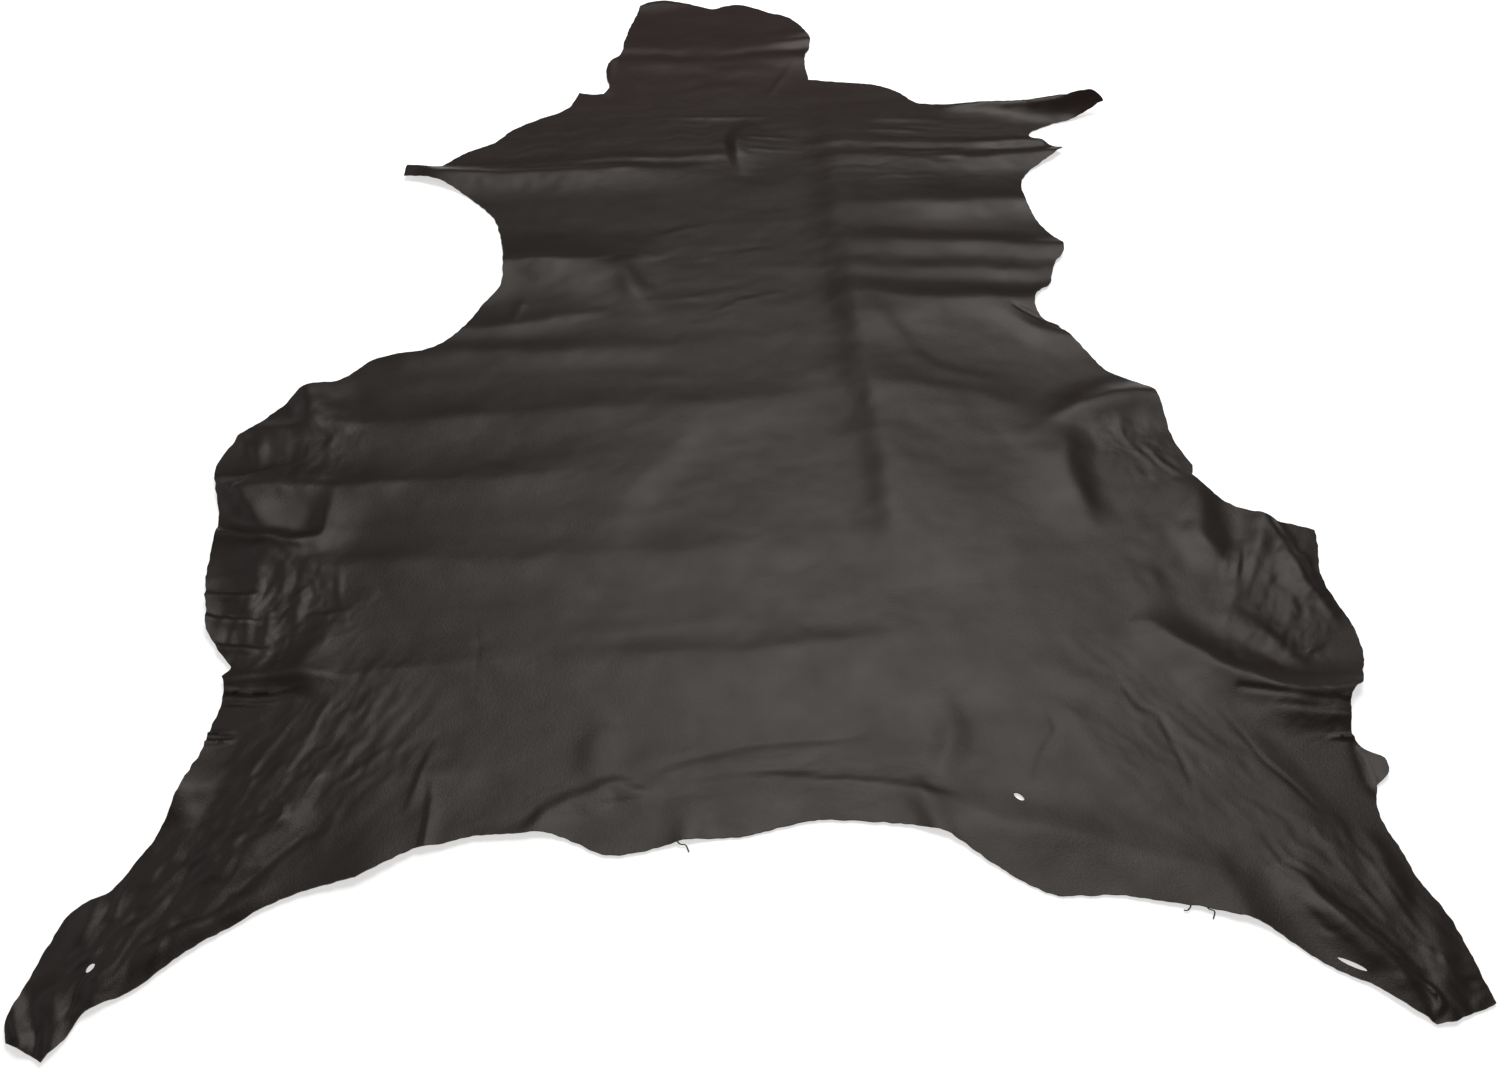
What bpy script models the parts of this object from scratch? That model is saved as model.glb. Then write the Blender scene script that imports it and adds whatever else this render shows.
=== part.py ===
"""A whole dressed hide lying on a level floor, in metres with +Z up.

The neck points along +Y, the hind legs along -Y. The hide is one sheet of even thickness. Its outline
is a ring of smooth stretches between corners. Its underside lies on z = 0 and rises only in the folds,
and the grain side follows it one thickness away.
"""

import math
from collections import namedtuple

import bpy
import numpy as np
from mathutils import Vector
from mathutils.geometry import delaunay_2d_cdt

# Driving sizes, in millimetres
MM = 0.001
THICKNESS = 1.2
EDGE_STEP = 17.0
CREST_STEP = 18.0
GRID_STEP = 22.0
EDGE_CLEAR = 11.0
CREST_CLEAR = 10.0
CRISP = 3.0
SIDE_SHARES = (0.0, 0.45, -0.45)
SHARP_ANGLE = 60.0
CURVE_STEPS = 8

# Outline: each stretch is a smooth curve from one corner to the next, clockwise from above
Stretch = namedtuple("Stretch", "place points")
OUTLINE = [
    Stretch("front and right side of the neck", [
        (-46, 637), (-28, 647), (-6, 645), (18, 637), (36, 628), (50, 633), (66, 636), (84, 627),
        (100, 615), (117, 607), (131, 589), (139, 568), (140, 545), (133, 522), (130, 500), (132, 474)]),
    Stretch("right shoulder to the toe of the foreleg", [
        (132, 474), (162, 467), (203, 458), (226, 442), (241, 421), (262, 416), (300, 411), (344, 402),
        (372, 400), (395, 398), (416, 401), (429, 399), (436, 393)]),
    Stretch("near side of the right foreleg", [
        (436, 393), (419, 387), (400, 378), (385, 374), (369, 367), (353, 357), (351, 348), (360, 338),
        (380, 322)]),
    Stretch("right armpit", [
        (380, 322), (369, 312), (350, 298), (336, 285), (327, 268), (325, 245), (327, 225), (332, 203),
        (341, 180), (348, 162), (346, 150), (336, 138), (330, 122), (325, 106), (314, 97), (306, 84),
        (303, 68), (305, 57)]),
    Stretch("nick in the right side", [(305, 57), (311, 50), (320, 44)]),
    Stretch("right side", [
        (320, 44), (331, 24), (343, 0), (352, -18), (370, -34), (384, -52), (388, -75), (389, -105),
        (393, -125), (398, -141)]),
    Stretch("step in the right side", [(398, -141), (395, -152)]),
    Stretch("right flank", [(395, -152), (408, -177), (424, -193), (449, -211)]),
    Stretch("right flank corner", [(449, -211), (463, -215), (478, -222)]),
    Stretch("outer edge of the right flank", [
        (478, -222), (475, -240), (469, -262), (468, -278), (472, -300), (477, -320), (477, -343),
        (475, -357)]),
    Stretch("notch below the right flank", [
        (475, -357), (468, -372), (465, -381), (455, -388), (449, -402), (444, -423)]),
    Stretch("small lobe", [(444, -423), (448, -436), (458, -444), (461, -451), (457, -461), (448, -468)]),
    Stretch("far side of the right hind leg", [
        (448, -468), (443, -482), (442, -500), (447, -520), (451, -545), (461, -570), (466, -600),
        (468, -622), (470, -637)]),
    Stretch("toe of the right hind leg", [(470, -637), (452, -643), (437, -648)]),
    Stretch("tip of the right toe", [(437, -648), (427, -648)]),
    Stretch("near side of the right hind leg and the rump", [
        (427, -648), (412, -634), (396, -619), (376, -607), (364, -597), (345, -578), (335, -569),
        (318, -562), (290, -553), (262, -546), (246, -542), (225, -541), (204, -539), (185, -528),
        (165, -511), (148, -494), (134, -484), (112, -477), (82, -472), (50, -469), (25, -473),
        (0, -478), (-25, -479), (-46, -480), (-68, -485), (-90, -488), (-106, -484), (-122, -474),
        (-140, -467), (-165, -467), (-190, -467), (-210, -472), (-230, -475), (-250, -486),
        (-267, -495)]),
    Stretch("near side of the left hind leg", [
        (-267, -495), (-300, -502), (-325, -512), (-350, -527), (-375, -543), (-400, -565),
        (-425, -578), (-434, -586), (-441, -600), (-451, -613)]),
    Stretch("toe of the left hind leg", [(-451, -613), (-463, -606), (-475, -599)]),
    Stretch("far side of the left hind leg", [
        (-475, -599), (-478, -583), (-473, -562), (-466, -538), (-457, -511), (-448, -502),
        (-434, -495), (-421, -478), (-408, -455), (-399, -428), (-391, -398), (-386, -378)]),
    Stretch("below the left notch", [(-386, -378), (-384, -360), (-380, -342), (-379, -325), (-382, -315)]),
    Stretch("left flank", [
        (-382, -315), (-377, -309), (-379, -301), (-390, -286), (-401, -266), (-404, -246),
        (-408, -222), (-410, -195), (-408, -165), (-410, -140), (-416, -112), (-420, -95), (-417, -77),
        (-410, -65), (-406, -54)]),
    Stretch("left side and armpit", [
        (-406, -54), (-392, -40), (-378, -20), (-363, -3), (-347, 6), (-331, 13), (-316, 26),
        (-300, 42), (-281, 48), (-256, 51), (-238, 62), (-219, 84), (-206, 111), (-193, 130),
        (-188, 146), (-188, 178), (-191, 205), (-196, 235), (-203, 253), (-219, 275), (-240, 297),
        (-262, 311), (-278, 317), (-292, 320)]),
    Stretch("toe of the left foreleg", [(-292, 320), (-289, 334)]),
    Stretch("left shoulder", [
        (-289, 334), (-272, 331), (-259, 334), (-248, 345), (-232, 360), (-203, 376), (-190, 392),
        (-177, 404), (-155, 418), (-137, 428), (-125, 440), (-120, 453), (-116, 465)]),
    Stretch("tab at the left shoulder", [(-116, 465), (-103, 461), (-90, 461)]),
    Stretch("left side of the neck", [
        (-90, 461), (-84, 472), (-86, 490), (-87, 505), (-82, 522), (-74, 532), (-68, 545),
        (-66, 562), (-60, 590), (-52, 617), (-46, 637)]),
]

# Holes through the hide: centre, length, width, and the turn of the length from +X in degrees
Hole = namedtuple("Hole", "place x y length width turn")
HOLES = [
    Hole("hole in the right thigh", 193, -460, 9.0, 5.0, -50),
    Hole("hole in the left hind leg", -432, -551, 7.0, 4.5, 60),
    Hole("slit beside the right hind leg's edge", 386, -604, 20.0, 3.6, -35),
]

# Folds: each crest runs through (x, y, height), and falls to the floor over the widths to its left and
# right as one walks along it. Its rounding makes the crest crisp or soft. A crest ends at height 0 or
# beyond the edge.
Fold = namedtuple("Fold", "place left right crest rounding", defaults=[CRISP])
FOLDS = [
    # Neck
    Fold("front roll of the neck", 26, 16, [
        (-80, 556, 3), (-20, 549, 3), (40, 547, 4), (90, 549, 8), (155, 556, 12)]),
    Fold("back roll of the neck", 13, 36, [(-80, 520, 3), (0, 515, 4), (70, 514, 4), (145, 517, 6)], 8),
    Fold("curl of the neck's left edge", 13, 13, [
        (-74, 544, 0), (-86, 520, 5), (-91, 500, 7), (-89, 478, 5), (-84, 455, 0)]),
    Fold("pleat behind the neck", 14, 10, [(48, 400, 0), (42, 375, 4), (38, 345, 5), (42, 305, 0)]),
    # Left shoulder and armpit
    Fold("left foreleg ridge", 26, 42, [
        (-300, 327, 9), (-250, 317, 9), (-180, 311, 9), (-110, 313, 7), (-40, 320, 4), (30, 326, 0)]),
    Fold("left shoulder ripple", 18, 12, [
        (-215, 338, 0), (-140, 340, 3), (-60, 341, 3.5), (20, 341, 3), (60, 335, 0)]),
    Fold("left armpit ridge", 85, 42, [
        (-205, 169, 10), (-150, 174, 10), (-105, 171, 9), (-70, 160, 6), (-35, 138, 0)]),
    Fold("rim of the armpit dent", 14, 26, [
        (-92, 172, 0), (-72, 150, 5), (-60, 120, 4.5), (-50, 95, 3), (-48, 68, 0)], 6),
    Fold("left waist ridge", 26, 26, [(-240, 76, 5), (-190, 76, 4), (-135, 82, 0)]),
    Fold("left waist ripple", 40, 35, [(-270, 44, 3), (-150, 41, 3), (-60, 38, 2.5), (40, 44, 0)], 15),
    # Left flank
    Fold("left hip ridge", 28, 30, [(-368, 20, 6), (-351, -5, 6), (-349, -30, 5), (-352, -64, 0)], 8),
    Fold("upper left ridge", 70, 55, [
        (-418, -52, 8), (-340, -50, 8), (-280, -50, 6), (-180, -48, 5), (-80, -45, 3.5),
        (40, -43, 2.5), (112, -45, 0)], 5),
    Fold("left pouch ridge", 55, 26, [
        (-430, -126, 8), (-390, -133, 15), (-345, -131, 15), (-305, -127, 9), (-240, -124, 5),
        (-150, -122, 2.5), (-60, -118, 0)]),
    Fold("lower lip of the left pouch", 13, 30, [
        (-428, -176, 9), (-390, -184, 8), (-350, -184, 7), (-318, -176, 5), (-306, -155, 3),
        (-302, -130, 0)]),
    Fold("middle left ridge", 45, 45, [
        (-372, -216, 5), (-300, -217, 6), (-220, -215, 4.5), (-120, -212, 2.5), (0, -210, 0)], 10),
    Fold("upper scallop of the left edge", 12, 14, [(-420, -226, 5), (-390, -228, 5), (-364, -228, 0)]),
    Fold("middle scallop of the left edge", 12, 14, [(-415, -258, 6), (-385, -260, 6), (-360, -260, 0)]),
    Fold("lower scallop of the left edge", 12, 14, [(-408, -284, 6), (-380, -288, 6), (-352, -292, 0)]),
    Fold("left gutter ridge", 34, 24, [
        (-392, -322, 11), (-350, -322, 12), (-318, -320, 9), (-290, -319, 4), (-200, -318, 2),
        (-120, -316, 0)]),
    Fold("left thigh ridge", 45, 32, [
        (-415, -412, 5), (-350, -416, 5), (-270, -416, 3.5), (-200, -410, 2), (-140, -402, 0)], 8),
    # Left hind leg
    Fold("left shank ridge", 16, 12, [
        (-288, -438, 0), (-318, -468, 4), (-345, -497, 4.5), (-378, -524, 0)]),
    Fold("left toe ridge", 18, 16, [
        (-458, -535, 0), (-449, -560, 5), (-440, -585, 6), (-432, -606, 5)]),
    Fold("left toe curl", 14, 20, [(-488, -556, 6), (-468, -566, 6), (-458, -582, 4), (-458, -606, 0)]),
    # Back
    Fold("left bank of the spine", 17, 70, [
        (104, 425, 0), (107, 330, 3), (99, 240, 3), (99, 120, 3.5), (101, 0, 4), (105, -110, 3.5),
        (107, -205, 0)], 14),
    Fold("right bank of the spine", 60, 17, [
        (162, 405, 0), (160, 340, 3), (147, 250, 3), (143, 140, 4), (143, 0, 4.5), (147, -110, 3.5),
        (150, -205, 0)], 14),
    Fold("belly swell", 45, 90, [
        (-135, -190, 0), (-105, -140, 3), (-60, -95, 3.5), (0, -70, 2.5), (75, -62, 0)], 30),
    Fold("loin ripple", 24, 55, [(-80, -318, 0), (0, -318, 3.5), (100, -314, 3.5), (155, -306, 0)], 14),
    # Right shoulder and armpit
    Fold("curl of the right foreleg", 10, 30, [
        (280, 414, 0), (320, 410, 3), (348, 406, 7), (373, 404, 14), (398, 402, 20), (420, 404, 24),
        (448, 400, 22)]),
    Fold("upper right ripple", 12, 14, [
        (108, 352, 0), (150, 346, 4), (220, 343, 4), (290, 340, 4.5), (360, 336, 6)]),
    Fold("right flap ridge", 16, 28, [
        (138, 322, 0), (190, 320, 4.5), (250, 315, 5), (320, 312, 7), (390, 316, 8)]),
    Fold("right armpit ridge", 42, 34, [(138, 240, 0), (190, 238, 5), (250, 236, 7), (335, 236, 8)]),
    Fold("right chest ridge", 24, 34, [
        (138, 184, 0), (180, 181, 6), (240, 176, 7), (300, 168, 7), (356, 160, 7)]),
    Fold("right chest ripple", 22, 20, [
        (135, 142, 0), (175, 138, 4), (235, 134, 3.5), (290, 130, 5), (345, 126, 5)], 8),
    Fold("right waist ridge", 32, 85, [
        (135, 100, 0), (175, 90, 7), (230, 84, 10), (290, 82, 11), (330, 84, 11)]),
    Fold("pleat at the nick", 6, 22, [(280, 62, 0), (298, 46, 5), (312, 36, 7), (330, 28, 7)]),
    Fold("rim of the waist dent", 30, 18, [
        (190, 74, 0), (197, 45, 3), (205, 15, 4), (222, -14, 4), (262, -26, 3), (312, -30, 0)], 12),
    Fold("right body ridge", 25, 40, [
        (118, -30, 0), (150, -34, 4), (200, -38, 4), (260, -44, 3), (322, -50, 0)], 6),
    # Right flank
    Fold("right pouch ridge", 34, 50, [
        (248, -102, 0), (285, -86, 6), (325, -62, 10), (360, -54, 11), (400, -60, 10)], 12),
    Fold("inner side of the right pouch", 26, 30, [
        (302, -76, 0), (295, -105, 6), (294, -140, 6), (297, -175, 4), (303, -215, 0)], 10),
    Fold("first right flank ridge", 16, 18, [
        (384, -160, 0), (396, -190, 6), (400, -220, 6), (392, -252, 0)]),
    Fold("second right flank ridge", 14, 14, [
        (456, -200, 4), (440, -228, 6), (422, -246, 5), (408, -266, 0)]),
    Fold("third right flank ridge", 14, 18, [
        (355, -298, 0), (385, -308, 5), (405, -325, 6), (418, -345, 4), (426, -362, 0)]),
    Fold("right gutter ridge", 32, 46, [
        (312, -300, 0), (345, -322, 7), (382, -358, 13), (425, -378, 13), (485, -382, 11)], 6),
    Fold("ridge of the right notch", 9, 16, [(385, -400, 0), (415, -403, 4), (438, -406, 6), (458, -412, 6)]),
    Fold("crown of the small lobe", 14, 14, [(420, -440, 0), (445, -448, 4), (470, -453, 5)]),
    # Right hind leg and rump
    Fold("right thigh ridge", 14, 16, [
        (345, -398, 0), (372, -445, 3), (392, -480, 4), (402, -520, 3), (398, -552, 0)], 8),
    Fold("right shank ridge", 22, 26, [
        (376, -528, 0), (392, -560, 6), (408, -590, 8), (414, -615, 7), (408, -648, 5)], 8),
    Fold("right heel ridge", 14, 20, [(335, -530, 0), (350, -556, 4), (352, -590, 5)]),
    Fold("right toe ridge", 14, 16, [(448, -560, 0), (450, -590, 4), (444, -620, 5), (432, -655, 5)]),
    Fold("rump ridge", 34, 30, [
        (-72, -428, 0), (0, -438, 5), (70, -446, 6), (140, -458, 7), (180, -480, 7), (250, -500, 7),
        (330, -534, 5), (392, -562, 0)], 6),
    Fold("tail crease", 16, 12, [(158, -366, 0), (168, -400, 3.5), (161, -430, 3.5), (150, -454, 0)], 8),
    Fold("rim of the rump lobe", 22, 30, [
        (-240, -480, 3), (-200, -470, 5), (-150, -452, 6), (-95, -436, 7), (-58, -448, 6),
        (-44, -470, 4), (-42, -495, 4)]),
    Fold("rump wrinkle", 9, 13, [(-64, -414, 0), (-10, -409, 3), (60, -403, 3), (112, -392, 0)]),
    Fold("pleat of the left rump", 12, 7, [(-221, -414, 0), (-222, -445, 3.5), (-227, -484, 4)]),
]


def smooth_curve(rows, steps):
    """Points on the Catmull-Rom curve through the rows, with each row's own values kept."""
    rows = np.asarray(rows, float)
    padded = np.vstack([2 * rows[0] - rows[1], rows, 2 * rows[-1] - rows[-2]])
    part = np.arange(steps)[:, None] / steps
    pieces = []
    for before, start, end, after in zip(padded, padded[1:], padded[2:], padded[3:]):
        pieces.append(0.5 * (2 * start + (end - before) * part
                             + (2 * before - 5 * start + 4 * end - after) * part**2
                             + (3 * start - before - 3 * end + after) * part**3))
    return np.vstack(pieces + [rows[-1:]])


def evenly_spaced(curve, step):
    """The curve's points read again at equal lengths of about one step, both ends kept."""
    lengths = np.hypot(*np.diff(curve[:, :2], axis=0).T)
    along = np.concatenate([[0.0], np.cumsum(lengths)])
    count = max(1, round(along[-1] / step))
    places = np.linspace(0.0, along[-1], count + 1)
    return np.column_stack([np.interp(places, along, column) for column in curve.T])


def outline_loop(step):
    """The hide's outline as one closed ring of points."""
    ring = []
    for stretch in OUTLINE:
        curve = smooth_curve(stretch.points, CURVE_STEPS)
        ring.append(evenly_spaced(curve, step)[:-1])
    return np.vstack(ring)


def hole_loop(hole, count=8):
    """A hole's rim, an ellipse turned to its place."""
    turn = math.radians(hole.turn)
    angles = np.arange(count) * 2 * math.pi / count
    along = hole.length / 2 * np.cos(angles)
    across = hole.width / 2 * np.sin(angles)
    return np.column_stack([hole.x + along * math.cos(turn) - across * math.sin(turn),
                            hole.y + along * math.sin(turn) + across * math.cos(turn)])


def fold_height(fold, points):
    """How far one fold lifts the hide at each point."""
    crest = smooth_curve(fold.crest, CURVE_STEPS)
    nearest = np.full(len(points), np.inf)
    lift = np.zeros(len(points))
    for start, end in zip(crest, crest[1:]):
        run = end[:2] - start[:2]
        offset = points - start[:2]
        part = np.clip(offset @ run / (run @ run), 0.0, 1.0)
        away = np.hypot(*(offset - part[:, None] * run).T)
        on_left = run[0] * offset[:, 1] - run[1] * offset[:, 0] > 0
        width = np.where(on_left, fold.left, fold.right)
        rise = np.hypot(away, fold.rounding) - fold.rounding
        fall = np.clip(rise / (np.hypot(width, fold.rounding) - fold.rounding), 0.0, 1.0)
        height = np.maximum(start[2] + (end[2] - start[2]) * part, 0.0) * (1.0 - fall) ** 2
        closer = away < nearest
        nearest[closer] = away[closer]
        lift[closer] = height[closer]
    return lift


def underside_height(points):
    """The height of the underside above the floor, the sum of the folds that reach a point."""
    return sum(fold_height(fold, points) for fold in FOLDS)


def inside(ring, points):
    """Which points lie within a closed ring."""
    within = np.zeros(len(points), bool)
    x, y = points.T
    for (x0, y0), (x1, y1) in zip(ring, np.roll(ring, -1, axis=0)):
        if y0 == y1:
            continue
        crosses = ((y0 > y) != (y1 > y)) & (x < x0 + (y - y0) * (x1 - x0) / (y1 - y0))
        within ^= crosses
    return within


def clear_of(points, others, distance):
    """Which points keep the distance from every one of the others."""
    gaps = np.hypot(points[:, None, 0] - others[None, :, 0], points[:, None, 1] - others[None, :, 1])
    return gaps.min(axis=1) > distance


def row_beside(fold, share):
    """Points along a fold's crest, moved to its left or right by a share of its width there."""
    run = evenly_spaced(smooth_curve(fold.crest, CURVE_STEPS), CREST_STEP)[:, :2]
    ahead = np.gradient(run, axis=0)
    ahead /= np.hypot(*ahead.T)[:, None]
    offset = share * (fold.left if share > 0 else fold.right)
    return run + offset * np.column_stack([-ahead[:, 1], ahead[:, 0]])


def crest_points(edge):
    """Points along every crest and down its sides, kept off the edge and off each other."""
    kept = np.empty((0, 2))
    for share in SIDE_SHARES:
        for fold in FOLDS:
            run = row_beside(fold, share)
            run = run[inside(edge, run)]
            run = run[clear_of(run, np.vstack([edge, kept]), CREST_CLEAR)]
            kept = np.vstack([kept, run])
    return kept


def grid_points(edge, rims, crests):
    """A triangular grid over the rest of the hide."""
    row_step = GRID_STEP * math.sqrt(3) / 2
    low = edge.min(axis=0)
    high = edge.max(axis=0)
    rows = []
    for number, y in enumerate(np.arange(low[1], high[1], row_step)):
        x = np.arange(low[0] + (number % 2) * GRID_STEP / 2, high[0], GRID_STEP)
        rows.append(np.column_stack([x, np.full(len(x), y)]))
    grid = np.vstack(rows)
    grid = grid[inside(edge, grid)]
    grid = grid[clear_of(grid, edge, EDGE_CLEAR)]
    grid = grid[clear_of(grid, rims, EDGE_CLEAR)]
    return grid[clear_of(grid, crests, CREST_CLEAR)]


def flat_pattern():
    """The hide seen from above, as points, triangles and rings of edge points."""
    edge = outline_loop(EDGE_STEP)
    rims = [hole_loop(hole) for hole in HOLES]
    crests = crest_points(edge)
    crests = crests[clear_of(crests, np.vstack(rims), EDGE_CLEAR)]
    grid = grid_points(edge, np.vstack(rims), crests)
    points = np.vstack([edge, *rims, crests, grid])
    rings = []
    first = 0
    for ring in [edge, *rims]:
        rings.append(np.arange(first, first + len(ring)))
        first += len(ring)
    edges = [pair for ring in rings for pair in zip(ring.tolist(), np.roll(ring, -1).tolist())]
    result = delaunay_2d_cdt([Vector(point) for point in points.tolist()], edges, [], 1, 1e-6)
    places = np.array([tuple(point) for point in result[0]])
    triangles = np.array(result[2])
    middles = places[triangles].mean(axis=1)
    solid = np.ones(len(triangles), bool)
    for rim in rims:
        solid &= ~inside(rim, middles)
    return places, triangles[solid]


def facing_up(places, triangles):
    """The triangles, each turned so that it runs anticlockwise from above."""
    a, b, c = (places[triangles[:, corner]] for corner in range(3))
    doubled = (b - a)[:, 0] * (c - a)[:, 1] - (b - a)[:, 1] * (c - a)[:, 0]
    return np.where((doubled > 0)[:, None], triangles, triangles[:, ::-1])


def surface_normals(corners, triangles):
    """A unit normal at each point, from the triangles that meet there."""
    a, b, c = (corners[triangles[:, corner]] for corner in range(3))
    faces = np.cross(b - a, c - a)
    normals = np.zeros_like(corners)
    for corner in range(3):
        np.add.at(normals, triangles[:, corner], faces)
    return normals / np.linalg.norm(normals, axis=1)[:, None]


def open_edges(triangles):
    """The directed edges that only one triangle has, which bound the sheet and its holes."""
    directed = [tuple(pair) for first, second in ((0, 1), (1, 2), (2, 0))
                for pair in triangles[:, [first, second]].tolist()]
    known = set(directed)
    return [pair for pair in directed if pair[::-1] not in known]


def hide_mesh():
    """The closed sheet: underside, grain side and the cut edge between them."""
    places, triangles = flat_pattern()
    triangles = facing_up(places, triangles)
    lower = np.column_stack([places, underside_height(places)])
    upper = lower + THICKNESS * surface_normals(lower, triangles)
    corners = np.vstack([lower, upper])
    middle = (corners.min(axis=0) + corners.max(axis=0)) / 2
    corners[:, :2] -= middle[:2]
    count = len(lower)
    faces = triangles[:, ::-1].tolist() + (triangles + count).tolist()
    for start, end in open_edges(triangles):
        faces.append([start, end, end + count])
        faces.append([start, end + count, start + count])
    mesh = bpy.data.meshes.new("hide")
    mesh.from_pydata((corners * MM).tolist(), [], faces)
    mesh.validate()
    mesh.shade_smooth()
    mesh.set_sharp_from_angle(angle=math.radians(SHARP_ANGLE))
    return mesh


def leather():
    """Dark brown dressed leather with a soft shine."""
    material = bpy.data.materials.new("leather")
    material.use_nodes = True
    surface = material.node_tree.nodes["Principled BSDF"]
    surface.inputs["Base Color"].default_value = (0.048, 0.037, 0.033, 1.0)
    surface.inputs["Roughness"].default_value = 0.42
    surface.inputs["Metallic"].default_value = 0.0
    return material


def main():
    for old in list(bpy.data.objects):
        bpy.data.objects.remove(old)
    hide = bpy.data.objects.new("hide", hide_mesh())
    hide.data.materials.append(leather())
    bpy.context.scene.collection.objects.link(hide)


main()
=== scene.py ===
"""The looks of a whole dressed hide that lies on a pale floor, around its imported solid.

The outline and the holes are the solid's, in millimetres. The folds follow the solid's, a little softer,
with some low ones more. Wrinkles, creases, grooves, threads and the grain are finer than the solid and are
added here. The neck points along +Y and +Z is up.
"""

import math
from collections import namedtuple

import bpy
import numpy as np
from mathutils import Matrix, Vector
from mathutils.geometry import delaunay_2d_cdt
from mathutils.kdtree import KDTree


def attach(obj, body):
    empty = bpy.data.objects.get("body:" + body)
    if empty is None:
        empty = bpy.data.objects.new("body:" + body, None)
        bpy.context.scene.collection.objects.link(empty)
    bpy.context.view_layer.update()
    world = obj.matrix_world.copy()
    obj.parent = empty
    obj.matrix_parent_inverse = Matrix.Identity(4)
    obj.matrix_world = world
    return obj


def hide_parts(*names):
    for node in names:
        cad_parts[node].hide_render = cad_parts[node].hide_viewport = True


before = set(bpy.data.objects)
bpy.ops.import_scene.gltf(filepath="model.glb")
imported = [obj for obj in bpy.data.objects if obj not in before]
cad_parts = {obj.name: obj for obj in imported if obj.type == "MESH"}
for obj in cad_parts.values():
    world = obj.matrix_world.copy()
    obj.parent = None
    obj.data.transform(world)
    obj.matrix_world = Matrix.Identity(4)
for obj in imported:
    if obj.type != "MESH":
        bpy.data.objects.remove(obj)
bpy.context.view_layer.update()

# The sheet, in millimetres and degrees. A groove may take this share of its thickness.
MM = 0.001
THICKNESS = 1.2
GROOVE_SHARE = 0.6
SHARP_ANGLE = 50.0

# Its nets of points: their steps, and how far they keep off the edge, in edge steps. They are fine in the
# band along a crest with a smaller rounding, and where a patch with a smaller spacing has this strength.
EDGE_STEP = 3.0
FINE_STEP = 2.35
UNDER_STEP = 9.0
EDGE_SHARE = 0.55
CREST_BAND = 7.0
FINE_ROUNDING = 5.0
FINE_SPACING = 14.1
FINE_STRENGTH = 0.12
CURVE_STEPS = 6
HOLE_POINTS = 14

# The usual rounding of a fold's crest, in millimetres, and its usual unevenness
CRISP = 3.0
UNEVEN = 0.7

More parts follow.
